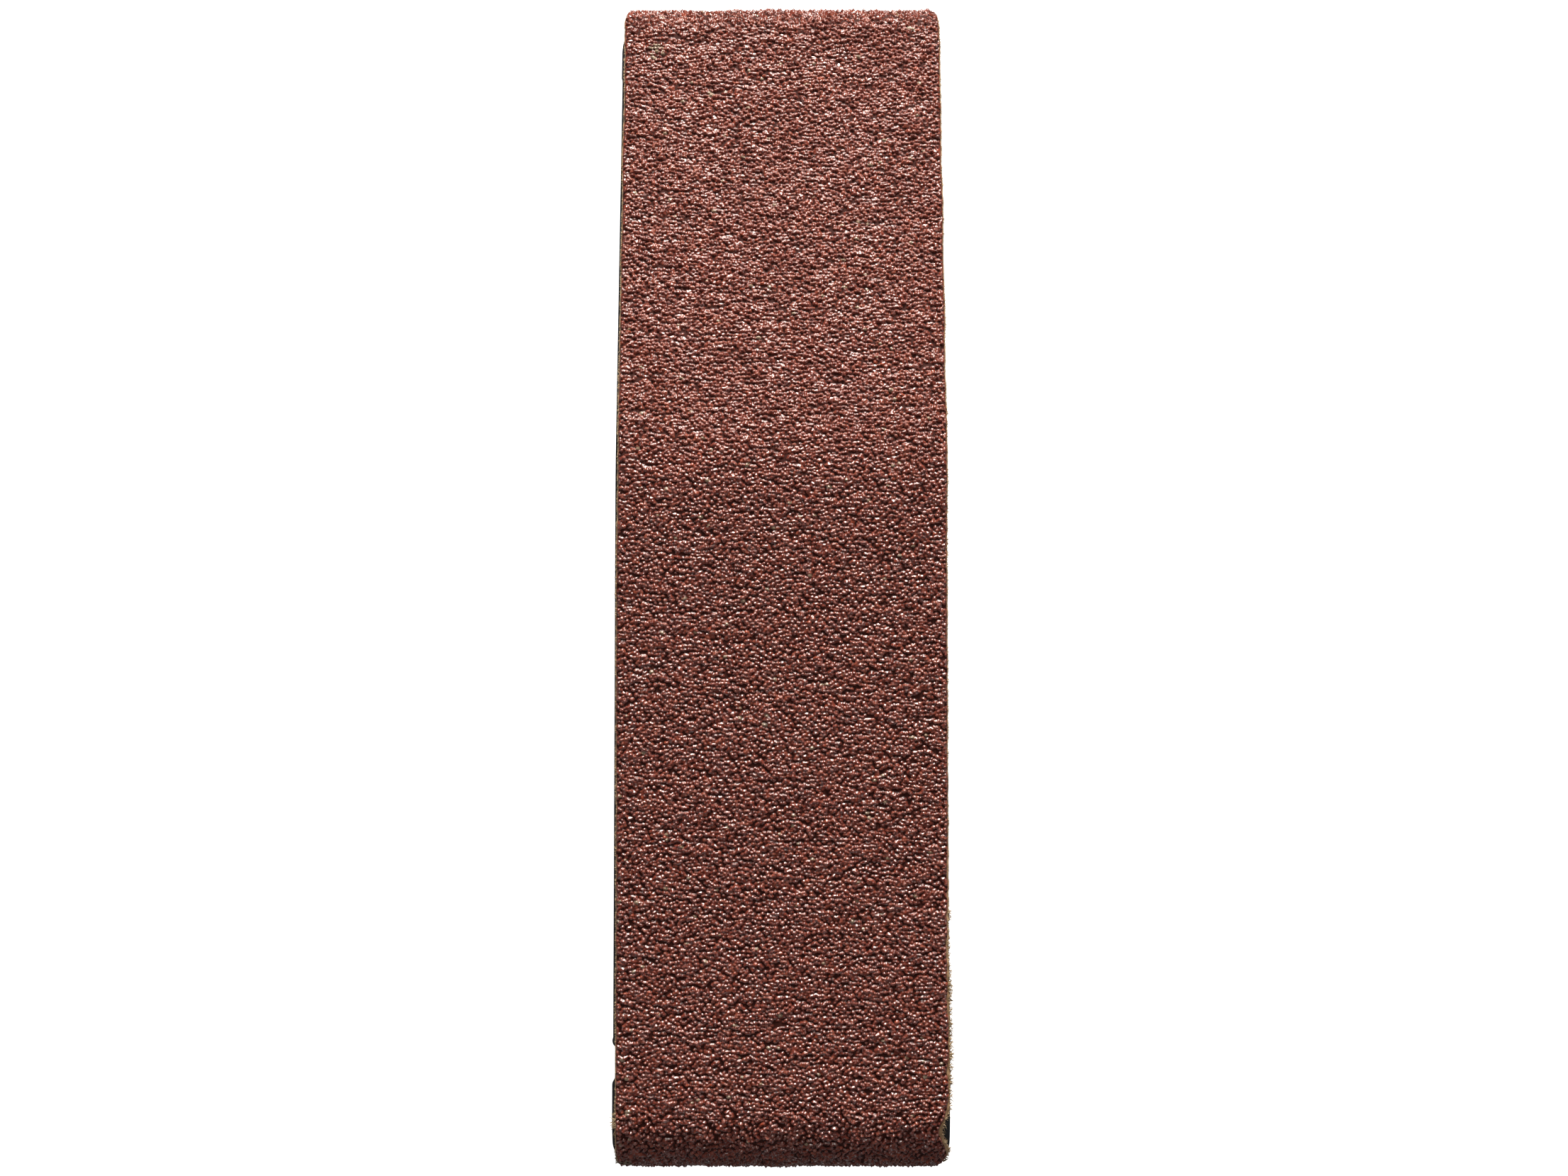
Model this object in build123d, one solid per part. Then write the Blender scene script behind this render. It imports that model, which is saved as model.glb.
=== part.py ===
from build123d import *
import math
import os

# A sanding stick that stretches an endless abrasive belt. It lies on its flat back: X is its width,
# +Y points to the thin tip and +Z up through the bent working face. The origin is the middle of the
# footprint, on the surface the stick lies on. Sizes are in millimetres and angles in degrees.

# Endless belt
belt_loop_length = 303.0  # round the inside of the cloth
belt_width = 39.8  # sold as 40
cloth_thickness = 0.7
grit_thickness = 0.5
belt_clearance = 0.1  # air between the belt and what it is stretched over
belt_shift = 0.13  # the belt sits this far off centre, towards +X
splice_length = 16.0
splice_skew = 12.0  # one end of the slanted butt joint leads the other by this much
splice_y = -12.0
splice_thickness = 0.2

# Outline that the belt is stretched over, seen from the side
seat_height = 18.5
tip_run = 58.5  # length of the sloping face along Y
tip_slope = 12.7
end_radius = 5.0
bend_radius = 35.0
nose_radius = 2.9

# Moulded body
body_width = 40.2
body_end_corner = 0.8
tip_corner = 5.0
edge_round = 0.6
wall = 2.0
pad_thickness = 1.5
pad_width = 39.2
pad_end_margin = 1.5
pad_tip_margin = 9.0
parting_groove_width = 0.3
parting_groove_depth = 1.05  # also cuts the floor of the grip recess
grip_margin = 3.4  # plastic left round the grip recess, seen from the side
grip_depth = 0.8
grip_rib_proud = 0.6
grip_rib_width = 1.5
grip_rib_pitch = 4.0
grip_rib_count = 14
first_grip_rib_y = -48.0

# Tension shoe
shoe_length = 9.8
shoe_gap = 3.6  # open gap between the shoe and the body while the belt is on
shoe_end_corner = 2.0
shoe_inner_corner = 0.8
shoe_outer_wall = 3.8
shoe_side_wall = 2.2
shoe_rib = 1.8
rod_boss_radius = 4.0

# Guide rods, springs and their hardware
rod_radius = 2.0
rod_offset = 10.0  # from the middle plane to each rod
rod_in_shoe_from_end = 3.5
rod_running_clearance = 0.05
rod_hole_clearance = 0.01
rod_overhang = 8.0  # beyond the inner bulkhead
rod_chamfer = 0.4
tapped_depth = 7.0
bulkhead = 3.0
spare_travel = 3.5  # how far the shoe still comes out when the belt is taken off
clip_thickness = 0.7
clip_radius = 3.6
clip_groove_radius = 1.6
clip_slot = 2.6
washer_thickness = 1.0
washer_radius = 4.2
spring_length = 26.0
spring_radius = 3.3
spring_wire_radius = 0.45
spring_turns = 9.5
seat_play = 0.02  # between faces of the spring train that touch

# Screws
rod_screw_radius = 1.25
rod_screw_head_radius = 2.4
rod_screw_head_height = 1.3
rod_screw_length = 9.0
shell_screw_radius = 1.45
shell_screw_hole_radius = 1.5
shell_screw_head_radius = 2.8
shell_screw_head_height = 1.7
shell_screw_boss_radius = 3.8
shell_screw_end_room = 0.6
cross_width = 0.8
cross_length = 3.0
cross_depth = 0.9
# where each shell screw stands (x, y) and its length
shell_screws = [(0, -38, 12), (-14.5, -5, 12), (14.5, -5, 12), (0, 24, 10), (0, 46, 6)]

# Locating pins between the shells
pin_radius = 1.2
pin_clearance = 0.1
pin_height = 2.5
pin_boss_radius = 2.8
pin_places = [(-14.5, 32), (14.5, 32)]

# Derived sizes
slope = math.radians(tip_slope)
rest_gap = belt_clearance + cloth_thickness + grit_thickness
nose_height = seat_height - tip_run * math.tan(slope)
half_body = body_width / 2


def corner_saving(radius, turn):
    """How much shorter an outline gets where a corner that turns this much is rounded."""
    return radius * (2 * math.tan(turn / 2) - turn)


corners_saved = (
    2 * corner_saving(end_radius, math.pi / 2)
    + corner_saving(nose_radius, math.pi / 2)
    + corner_saving(nose_radius, math.pi / 2 - slope)
    + corner_saving(bend_radius, slope)
)
seat_loop = belt_loop_length - 2 * math.pi * belt_clearance
flat_run = (
    seat_loop - tip_run - seat_height - tip_run / math.cos(slope) - nose_height + corners_saved
) / 2
seat_length = flat_run + tip_run

end_y = -seat_length / 2
tip_y = seat_length / 2
bend_y = tip_y - tip_run
seat_low = rest_gap
seat_top = seat_low + seat_height
shoe_inner_y = end_y + shoe_length
body_end_y = shoe_inner_y + shoe_gap
middle_z = seat_low + seat_height / 2
nose_middle_z = seat_low + nose_height / 2

# The spring train, from the shoe inwards
body_end_inner_y = body_end_y + bulkhead
clip_y = body_end_inner_y + spare_travel
washer_y = clip_y + clip_thickness + seat_play
spring_y = washer_y + washer_thickness + seat_play
inner_bulkhead_y = spring_y + spring_length + seat_play
inner_bulkhead_end_y = inner_bulkhead_y + bulkhead
rod_start_y = end_y + rod_in_shoe_from_end
rod_end_y = inner_bulkhead_end_y + rod_overhang

# Hollows of the body, from bulkhead to bulkhead
cross_ribs = [8.0, 38.0]
cross_rib_thickness = 2.0
hollow_starts = [body_end_inner_y, inner_bulkhead_end_y] + [y + cross_rib_thickness for y in cross_ribs]
hollow_stops = [inner_bulkhead_y] + cross_ribs + [tip_y]
far = 200.0  # beyond the stick on every side

# The two bevels that stand for a rounded edge: one steep and long, one flat and short
bevel_long = edge_round * math.sin(math.pi / 4)
bevel_short = edge_round - bevel_long
steep_bevel = 22.5
flat_bevel = 67.5


def seat_outline(grown=0.0):
    """Side view of what the belt is stretched over, grown outwards by this much."""
    corners = [
        (end_y, seat_low),
        (tip_y, seat_low),
        (tip_y, seat_low + nose_height),
        (bend_y, seat_top),
        (end_y, seat_top),
    ]
    radii = [end_radius, nose_radius, nose_radius, bend_radius, end_radius]
    outline = make_face(FilletPolyline(*corners, radius=radii, close=True))
    if grown == 0:
        return outline
    return offset(outline, amount=grown, kind=Kind.ARC)


def across(side_view, half_width):
    """A side view in Y and Z, drawn out to both sides along X."""
    return extrude(Plane.YZ * side_view, amount=half_width, both=True)


def side_box(start_y, stop_y, low_z=-far, high_z=far):
    """Side view rectangle from one corner to the other."""
    centre = Pos((start_y + stop_y) / 2, (low_z + high_z) / 2)
    return centre * Rectangle(stop_y - start_y, high_z - low_z)


def parting_height(y):
    """Height of the line where the two shells meet, midway between back and front."""
    if y < bend_y:
        return middle_z
    return middle_z + (y - bend_y) * (nose_middle_z - middle_z) / tip_run


def beside_parting(edge_z, shift=0.0):
    """Side view of everything between the parting line and a level above or below it."""
    line = [(y, parting_height(y) + shift) for y in (-far, bend_y, tip_y + wall)]
    return make_face(Polyline(*line, (tip_y + wall, edge_z), (-far, edge_z), close=True))


def rod_along(x, radius, start_y, stop_y):
    """A round bar along Y at the height of the guide rods."""
    bar = Cylinder(radius, stop_y - start_y, align=(Align.CENTER, Align.CENTER, Align.MIN))
    return Pos(x, start_y, middle_z) * Rot(X=-90) * bar


def post(x, y, radius, low_z, high_z):
    """A round bar along Z."""
    bar = Cylinder(radius, high_z - low_z, align=(Align.CENTER, Align.CENTER, Align.MIN))
    return Pos(x, y, low_z) * bar


def plan_block(start_y, stop_y, start_corner, stop_corner):
    """A tall block whose corners are rounded in the view from above."""
    corners = [(-half_body, start_y), (half_body, start_y), (half_body, stop_y), (-half_body, stop_y)]
    radii = [start_corner, start_corner, stop_corner, stop_corner]
    outline = make_face(FilletPolyline(*corners, radius=radii, close=True))
    return extrude(outline, amount=far)


def belt_layer(inner, outer):
    """One layer of the belt, a closed loop round the stick."""
    loop = seat_outline(outer) - seat_outline(inner)
    return Pos(belt_shift, 0, 0) * across(loop, belt_width / 2)


def belt_splice_tape():
    """The film across the slanted butt joint, let into the inside of the cloth."""
    half_width = belt_width / 2
    half_length = splice_length / 2
    lead = splice_skew / 2
    corners = [
        (-half_width, splice_y - lead - half_length),
        (half_width, splice_y + lead - half_length),
        (half_width, splice_y + lead + half_length),
        (-half_width, splice_y - lead + half_length),
    ]
    film = extrude(make_face(Polyline(*corners, close=True)), amount=splice_thickness)
    return Pos(belt_shift, 0, seat_low - belt_clearance - splice_thickness) * film


def pad_view(side):
    """Side view of one foam pad, which lies just inside the belt."""
    skin = seat_outline() - seat_outline(-pad_thickness)
    lengthwise = side_box(body_end_y + pad_end_margin, tip_y - pad_tip_margin)
    return skin & lengthwise & beside_parting(side * far)


def body_view():
    """Side view of the moulded body, without the pads that lie on it."""
    behind_gap = side_box(body_end_y, far)
    return (seat_outline() & behind_gap) - pad_view(1) - pad_view(-1)


def across_rounded(side_view, half_width):
    """The same, with the edges of both sides eased by two bevels that follow a quarter circle."""
    eased = extrude(
        Plane.YZ.offset(half_width - edge_round) * side_view, amount=bevel_long, taper=steep_bevel
    )
    outer_face = eased.faces().sort_by(Axis.X)[-1]
    eased += extrude(outer_face, amount=bevel_short, taper=flat_bevel)
    return across(side_view, half_width - edge_round) + eased + mirror(eased, Plane.YZ)


def hollow(start_y, stop_y):
    """One hollow of the body between two bulkheads."""
    inside = seat_outline(-pad_thickness - wall) & side_box(start_y, stop_y)
    return across(inside, half_body - wall)


def bosses():
    """Posts for the screws and locating pins, as tall as the hollows."""
    room = across(seat_outline(-pad_thickness - wall / 2), half_body - wall / 2)
    posts = Part()
    for x, y, _ in shell_screws:
        posts += post(x, y, shell_screw_boss_radius, 0, seat_top)
    for x, y in pin_places:
        posts += post(x, y, pin_boss_radius, 0, seat_top)
    return posts & room


def grip_recess():
    """The shallow recess in each side that the fingers hold, with the ribs left standing in it."""
    panel = seat_outline(-grip_margin) & side_box(body_end_y + grip_margin, far)
    panel = fillet(panel.vertices().filter_by(lambda v: v.X < end_y + far / 10), grip_depth)
    recess = extrude(Plane.YZ * panel, amount=grip_depth)
    ribs = Part()
    for index in range(grip_rib_count):
        rib_y = first_grip_rib_y + index * grip_rib_pitch
        rib = side_box(rib_y, rib_y + grip_rib_width)
        ribs += extrude(Plane.YZ * rib, amount=grip_rib_proud)
    recess -= ribs
    right = Pos(half_body - grip_depth, 0, 0) * recess
    return right + mirror(right, Plane.YZ)


def parting_groove():
    """The fine groove along both sides where the shells meet."""
    half = parting_groove_width / 2
    line = beside_parting(-far, half) - beside_parting(-far, -half)
    return across(line, half_body) - across(line, half_body - parting_groove_depth)


def shell_screw_cuts():
    """The counterbored holes that the shell screws go into, from the back."""
    back_z = seat_low + pad_thickness
    cuts = Part()
    for x, y, length in shell_screws:
        head_top = back_z + shell_screw_head_height
        cuts += post(x, y, shell_screw_head_radius + pin_clearance, 0, head_top)
        cuts += post(x, y, shell_screw_hole_radius, 0, back_z + length + shell_screw_end_room)
    return cuts


def body_blank():
    """Both shells in one piece, before they are parted."""
    limits = plan_block(body_end_y, tip_y, body_end_corner, tip_corner)
    blank = across_rounded(body_view(), half_body) & limits
    for start_y, stop_y in zip(hollow_starts, hollow_stops):
        blank -= hollow(start_y, stop_y)
    blank += bosses()
    blank -= shell_screw_cuts()
    blank -= grip_recess()
    blank -= parting_groove()
    for x in (-rod_offset, rod_offset):
        bore = rod_radius + rod_running_clearance
        blank -= rod_along(x, bore, body_end_y - wall, inner_bulkhead_end_y)
    return blank


def locating_pins(radius):
    """Pins that stand up from the back shell where the shells meet."""
    pins = Part()
    for x, y in pin_places:
        top_z = parting_height(y) + pin_height
        pins += post(x, y, radius, parting_height(y) - pin_height, top_z)
    return pins


def back_shell(blank):
    """The lower shell, with the locating pins."""
    return (blank & across(beside_parting(-far), far)) + locating_pins(pin_radius)


def front_shell(blank):
    """The upper shell, with the sockets for the pins."""
    return (blank & across(beside_parting(far), far)) - locating_pins(pin_radius + pin_clearance)


def tension_shoe():
    """The end piece that the springs push out against the belt."""
    limits = plan_block(end_y, shoe_inner_y, shoe_end_corner, shoe_inner_corner)
    shoe = across_rounded(seat_outline() & side_box(-far, shoe_inner_y), half_body) & limits
    low_z = seat_low + shoe_side_wall
    high_z = seat_top - shoe_side_wall
    pocket = across(
        side_box(end_y + shoe_outer_wall, shoe_inner_y, low_z, high_z), half_body - shoe_side_wall
    )
    for x in (-rod_offset, rod_offset):
        pocket -= rod_along(x, rod_boss_radius, end_y, shoe_inner_y)
        pocket -= Pos(x, 0, 0) * across(side_box(end_y, shoe_inner_y), shoe_rib / 2)
    pocket -= across(side_box(end_y, shoe_inner_y), shoe_rib / 2)
    shoe -= pocket
    for x in (-rod_offset, rod_offset):
        shoe -= rod_along(x, rod_radius + rod_hole_clearance, rod_start_y, shoe_inner_y)
        shoe -= Pos(x, end_y, middle_z) * Rot(X=-90) * rod_screw_hole()
    return shoe


def rod_screw_hole():
    """The countersunk hole through the shoe's outer wall, along its own +Z."""
    clearance = pin_clearance
    upright = (Align.CENTER, Align.CENTER, Align.MIN)
    shank = Cylinder(rod_screw_radius + clearance, rod_in_shoe_from_end, align=upright)
    sink = Cone(
        rod_screw_head_radius + clearance,
        rod_screw_radius + clearance,
        rod_screw_head_height,
        align=upright,
    )
    return shank + sink


def cross_recess():
    """The cross in a screw head, cut down from the top face."""
    bar = Box(cross_length, cross_width, 2 * cross_depth)
    return bar + Rot(Z=90) * bar


def rod_screw(x):
    """A countersunk screw from the shoe's outer face into a rod's end."""
    upright = (Align.CENTER, Align.CENTER, Align.MIN)
    head = Cone(rod_screw_head_radius, rod_screw_radius, rod_screw_head_height, align=upright)
    screw = head + Cylinder(rod_screw_radius, rod_screw_length, align=upright)
    screw -= cross_recess()
    return Pos(x, end_y, middle_z) * Rot(X=-90) * screw


def shell_screw(x, y, length):
    """A pan-head screw that closes the shells, its head flush with the back shell's outside."""
    back_z = seat_low + pad_thickness
    screw = post(x, y, shell_screw_head_radius, back_z, back_z + shell_screw_head_height)
    screw += post(x, y, shell_screw_radius, back_z, back_z + length)
    return screw - Pos(x, y, back_z) * cross_recess()


def guide_rod(x):
    """A steel rod held in the shoe and sliding in the body's bulkheads."""
    rod = rod_along(x, rod_radius, rod_start_y, rod_end_y)
    rod = chamfer(rod.edges().filter_by(GeomType.CIRCLE).sort_by(Axis.Y)[-1], rod_chamfer)
    groove = rod_along(x, rod_radius + wall, clip_y, clip_y + clip_thickness)
    groove -= rod_along(x, clip_groove_radius, clip_y, clip_y + clip_thickness)
    thread = rod_screw_radius + rod_hole_clearance
    return rod - groove - rod_along(x, thread, rod_start_y, rod_start_y + tapped_depth)


def e_clip(x):
    """A clip pushed sideways into the rod's groove, open towards the back."""
    start, stop = clip_y, clip_y + clip_thickness
    clip = rod_along(x, clip_radius, start, stop)
    clip -= rod_along(x, clip_groove_radius + rod_hole_clearance, start, stop)
    mouth_z = middle_z - clip_radius
    mouth = Pos(x, (start + stop) / 2, mouth_z) * Box(clip_slot, far, 2 * clip_radius)
    clip -= mouth
    for side in (-1, 1):
        relief_x = x + side * (clip_groove_radius + clip_thickness / 2)
        relief = Pos(relief_x, (start + stop) / 2, middle_z) * Rot(X=90) * Cylinder(clip_thickness, far)
        clip -= relief
    return clip


def spring_washer(x):
    """The washer between the clip and the spring."""
    start, stop = washer_y, washer_y + washer_thickness
    bore = rod_radius + rod_running_clearance
    return rod_along(x, washer_radius, start, stop) - rod_along(x, bore, start - 1, stop + 1)


def tension_spring(x):
    """A compression spring round a rod, its ends ground flat."""
    pitch = spring_length / spring_turns
    wire_path = Helix(pitch, spring_length + 2 * spring_wire_radius, spring_radius)
    section = Plane(origin=wire_path @ 0, z_dir=wire_path % 0) * Circle(spring_wire_radius)
    coil = sweep(section, path=wire_path, is_frenet=True)
    coil = Pos(0, 0, -spring_wire_radius) * coil
    upright = (Align.CENTER, Align.CENTER, Align.MIN)
    coil &= Cylinder(2 * spring_radius, spring_length, align=upright)
    return Pos(x, spring_y, middle_z) * Rot(X=-90) * coil


def write(name, shape):
    """Writes one sub-part, as its own solids."""
    solids = list(shape.solids())
    whole = solids[0] if len(solids) == 1 else Compound(children=solids)
    export_step(whole, f"parts/{name}.step")


def main():
    os.makedirs("parts", exist_ok=True)
    tape = belt_splice_tape()
    write("belt_cloth", belt_layer(belt_clearance, belt_clearance + cloth_thickness) - tape)
    write("belt_grit", belt_layer(belt_clearance + cloth_thickness, rest_gap))
    write("belt_splice_tape", tape)
    write("front_pad", across(pad_view(1), pad_width / 2))
    write("back_pad", across(pad_view(-1), pad_width / 2))
    blank = body_blank()
    write("front_shell", front_shell(blank))
    write("back_shell", back_shell(blank))
    write("tension_shoe", tension_shoe())
    for side, x in (("left", -rod_offset), ("right", rod_offset)):
        write(f"{side}_guide_rod", guide_rod(x))
        write(f"{side}_e_clip", e_clip(x))
        write(f"{side}_spring_washer", spring_washer(x))
        write(f"{side}_tension_spring", tension_spring(x))
    write("rod_screws", Part() + [rod_screw(x) for x in (-rod_offset, rod_offset)])
    write("shell_screws", Part() + [shell_screw(*place) for place in shell_screws])
    print("length over the belt", round(seat_length + 2 * rest_gap, 2))
    print("flat working face", round(flat_run, 2), "tip height", round(nose_height + 2 * rest_gap, 2))


main()
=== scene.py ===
import math
from enum import IntEnum

import bpy
import numpy as np
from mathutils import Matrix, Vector


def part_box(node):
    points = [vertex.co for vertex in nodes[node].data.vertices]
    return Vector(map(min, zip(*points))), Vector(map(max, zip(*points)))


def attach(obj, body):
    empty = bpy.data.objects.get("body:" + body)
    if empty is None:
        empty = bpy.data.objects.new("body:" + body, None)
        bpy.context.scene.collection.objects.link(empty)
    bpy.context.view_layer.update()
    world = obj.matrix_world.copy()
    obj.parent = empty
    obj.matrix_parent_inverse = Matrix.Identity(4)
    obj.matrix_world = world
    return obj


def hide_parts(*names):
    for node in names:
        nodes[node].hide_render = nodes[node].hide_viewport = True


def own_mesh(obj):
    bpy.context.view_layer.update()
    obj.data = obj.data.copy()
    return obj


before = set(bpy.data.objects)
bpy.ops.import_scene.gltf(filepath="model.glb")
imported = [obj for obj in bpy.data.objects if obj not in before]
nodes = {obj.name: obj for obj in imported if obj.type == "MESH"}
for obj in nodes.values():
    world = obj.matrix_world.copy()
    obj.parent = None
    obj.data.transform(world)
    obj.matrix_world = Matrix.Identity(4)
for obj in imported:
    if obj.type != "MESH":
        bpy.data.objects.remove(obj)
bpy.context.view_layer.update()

MM = 0.001

# The belt and the outline it is stretched over, as in the CAD model
CLOTH_THICKNESS = 0.7 * MM
GRIT_THICKNESS = 0.5 * MM
BELT_CLEARANCE = 0.1 * MM
TIP_RUN = 58.5 * MM
TIP_SLOPE = math.radians(12.7)
END_RADIUS = 5.0 * MM
BEND_RADIUS = 35.0 * MM
NOSE_RADIUS = 2.9 * MM
SPLICE_Y = -12.0 * MM
SPLICE_SKEW = 12.0 * MM

BELT_LOW, BELT_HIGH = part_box("belt_grit")
BELT_MIDDLE = (BELT_LOW.x + BELT_HIGH.x) / 2
HALF_WIDTH = (BELT_HIGH.x - BELT_LOW.x) / 2
REST_GAP = BELT_CLEARANCE + CLOTH_THICKNESS + GRIT_THICKNESS
SEAT_LENGTH = BELT_HIGH.y - BELT_LOW.y - 2 * REST_GAP
SEAT_HEIGHT = BELT_HIGH.z - BELT_LOW.z - 2 * REST_GAP
NOSE_HEIGHT = SEAT_HEIGHT - TIP_RUN * math.tan(TIP_SLOPE)
SEAT_END_Y = BELT_LOW.y + REST_GAP
SEAT_TOP_Z = BELT_HIGH.z - REST_GAP
CLOTH_INSIDE = BELT_CLEARANCE
CLOTH_MIDDLE = BELT_CLEARANCE + CLOTH_THICKNESS / 2
CLOTH_OUTSIDE = BELT_CLEARANCE + CLOTH_THICKNESS

# Abrasive coat
GRID = 0.085 * MM  # spacing of the points of its surface
GRAIN_PITCH = 0.45 * MM
ROW_SPACING = 0.9 * GRAIN_PITCH
STRAY_ALONG = 0.23 * GRAIN_PITCH  # how far a grain strays from its place in the row
STRAY_ACROSS = 0.25 * GRAIN_PITCH
GRAIN_FLATTENING = 1.12  # grains are a little wider across the belt than along it
GRAIN_SIDES = 5
STREAK_CELL = (0.62 * MM, 1.5 * MM)  # along and across the belt
PATCH_CELL = (1.5 * MM, 2.2 * MM)
SIZE_MEAN, SIZE_SPREAD = 0.58, 0.075  # a grain's reach, in pitches
HEIGHT_MEAN, HEIGHT_SPREAD = 0.95, 0.22  # its height, in reliefs
PLAIN_TONES_END = [0.25, 0.52, 0.80]  # shares of the grains where the plain tones follow each other
ORANGE_FROM = 0.988
TAN_FROM = 0.9945
ORANGE, TAN = 4, 5
ABRASIVE_PIECES = 18
DARK_RESIN_AND_SHADE = 6  # the last tone: the dark resin between the grains, made darker still as painted shade in the hollows
RESIN_THICKNESS = 0.08 * MM  # under the grains
GRAIN_RELIEF = 0.34 * MM
PAINTED_SHADE_DEPTH = 0.05 * MM  # where the grains are lower than this, the dark resin tone shows, partly the resin's own colour and partly painted shade between the grains
CLOTH_SHOWING = 0.15 * MM  # how far the cloth stands out past the coat on each side
CRUMBLED_SHOWING = 0.22 * MM  # how much further near the right end, where the coat has crumbled

# Wear of the belt's edges: how deep it is, and how far along the belt it reaches
RIGHT_END_WEAR = 2.4 * MM
LEFT_END_WEAR = 0.4 * MM
END_WEAR_REACH = 9.5 * MM
NOSE_WEAR = 0.35 * MM
NOSE_WEAR_REACH = 4 * MM
TEAR_DEPTH = 0.95 * MM
TEAR_REACH = 3.0 * MM

# Noise
NOISE_WIDTH = 60 * MM  # the band round the belt's middle line that it covers
NO_CHANGE_ACROSS = 10 * MM  # cell width for noise that is asked for along one line only

# Loose fibres on the belt's edges
FRAYED_SPOTS = {  # on each side: how strong, where along the belt and how far it reaches
    -1: [(0.75, -0.2 * MM, 1.4 * MM)],
    1: [(0.55, 8 * MM, 22 * MM), (0.5, 24.3 * MM, 1.2 * MM)],
}
FIBRES_PER_EDGE = 5200
FIBRE_POINTS = 5
FIBRE_SIDES = 4

# Foam pads under the belt
PAD_THICKNESS = 1.5 * MM
PAD_RIM = 0.8 * MM  # its end edges round off over this length
PAD_SIDE_RIM = 0.012  # and its side edges over this share of its width

# Springs
SPRING_WIRE_RADIUS = 0.45 * MM
SPRING_TURNS = 9.5
CLOSED_TURNS = 1.0  # at each end of the spring
WIRE_STEPS_PER_TURN = 28

# Camera and light
CAMERA_DISTANCE = 0.330
CAMERA_TILT = math.radians(3.78)
CAMERA_LENS = 63.3
AIM_X = 0.00035
AIM_Y = -0.00278
WHITE = (1.0, 1.0, 1.0)
WARM = (1.0, 0.96, 0.90)
LIGHT_AIM = (0, 0, 0.01)
LIGHTS = {  # place, size and power of each, and its colour
    "key": ((0.03, 0.62, 0.23), (0.20, 0.14), 7.5, WARM),
    "overhead": ((0.02, 0.24, 0.50), (0.08, 0.08), 0.8, WARM),
    "left_side": ((-0.60, -0.05, 0.12), (0.5, 0.12), 0.5, WHITE),
    "right_side": ((0.60, -0.05, 0.12), (0.5, 0.12), 0.5, WHITE),
    "near_end": ((0, -0.60, 0.12), (0.5, 0.12), 0.4, WHITE),
}
SKY_STRENGTH = 0.035
WALL_REACH = 3.0  # from the part to the backdrop
FLOOR_GAP = 0.15 * MM  # room for the grains that stand out below the CAD belt


def srgb(red, green, blue):
    """A colour as it looks on a screen, from 0 to 255, as the linear values that Blender wants."""
    linear = []
    for seen in (red / 255, green / 255, blue / 255):
        linear.append(seen / 12.92 if seen <= 0.04045 else ((seen + 0.055) / 1.055) ** 2.4)
    return [*linear, 1]


# ------------------------------------------------------------------ the line that the belt follows
class Stretch(IntEnum):
    """The straights and arcs of the belt's line, in travel order."""

    FLAT = 0
    BEND = 1
    SLOPE = 2
    NOSE_UPPER = 3
    NOSE_FRONT = 4
    NOSE_LOWER = 5
    BACK = 6
    END_LOWER = 7
    END_FRONT = 8
    END_UPPER = 9


def seat_corners():
    """The seat outline's corners in travel order: the edge before each, its turn and its radius."""
    right_angle = math.pi / 2
    return [
        (SEAT_HEIGHT, right_angle, END_RADIUS),
        (SEAT_LENGTH - TIP_RUN, TIP_SLOPE, BEND_RADIUS),
        (TIP_RUN / math.cos(TIP_SLOPE), right_angle - TIP_SLOPE, NOSE_RADIUS),
        (NOSE_HEIGHT, right_angle, NOSE_RADIUS),
        (SEAT_LENGTH, right_angle, END_RADIUS),
    ]


class BeltLine:
    """The loop in side view. It starts where the long flat of the working face leaves the end, and runs
    towards the tip, round it and back along the flat back. Distances are measured along the cloth."""

    def __init__(self):
        corners = seat_corners()
        cut = [radius * math.tan(turn / 2) for _, turn, radius in corners]
        self.starts, self.points, self.headings, self.radii = [], [], [], []
        self.length = 0.0
        place = np.array([SEAT_END_Y + cut[0], SEAT_TOP_Z])
        heading = 0.0
        for index in range(len(corners)):
            after = (index + 1) % len(corners)
            edge, turn, radius = corners[after]
            straight = edge - cut[index] - cut[after]
            place = self.add(place, heading, straight, math.inf)
            place = self.add(place, heading, turn * radius, radius)
            heading -= turn
        self.starts = np.array(self.starts)
        self.points = np.array(self.points)
        self.headings = np.array(self.headings)
        self.radii = np.array(self.radii)

    def add(self, place, heading, seat_run, radius):
        """Adds one straight or arc and returns where it ends on the seat outline."""
        self.starts.append(self.length)
        self.points.append(place)
        self.headings.append(heading)
        self.radii.append(radius)
        if math.isinf(radius):
            self.length += seat_run
            return place + seat_run * np.array([math.cos(heading), math.sin(heading)])
        turn = seat_run / radius
        self.length += turn * (radius + CLOTH_MIDDLE)
        centre = place - radius * np.array([-math.sin(heading), math.cos(heading)])
        later = heading - turn
        return centre + radius * np.array([-math.sin(later), math.cos(later)])

    def at(self, along, height):
        """The points (y, z) and outward normals at these distances and heights above the outline."""
        along = np.mod(along, self.length)
        segment = np.searchsorted(self.starts, along, side="right") - 1
        run = along - self.starts[segment]
        radius = self.radii[segment]
        curved = np.isfinite(radius)
        safe = np.where(curved, radius, 1.0)
        first = self.headings[segment]
        heading = first - np.where(curved, run / (safe + CLOTH_MIDDLE), 0.0)
        first_normal = np.stack([-np.sin(first), np.cos(first)], -1)
        normal = np.stack([-np.sin(heading), np.cos(heading)], -1)
        direction = np.stack([np.cos(first), np.sin(first)], -1)
        straight = self.points[segment] + run[..., None] * direction
        centre = self.points[segment] - safe[..., None] * first_normal
        on_seat = np.where(curved[..., None], centre + safe[..., None] * normal, straight)
        return on_seat + np.asarray(height)[..., None] * normal, normal


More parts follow.
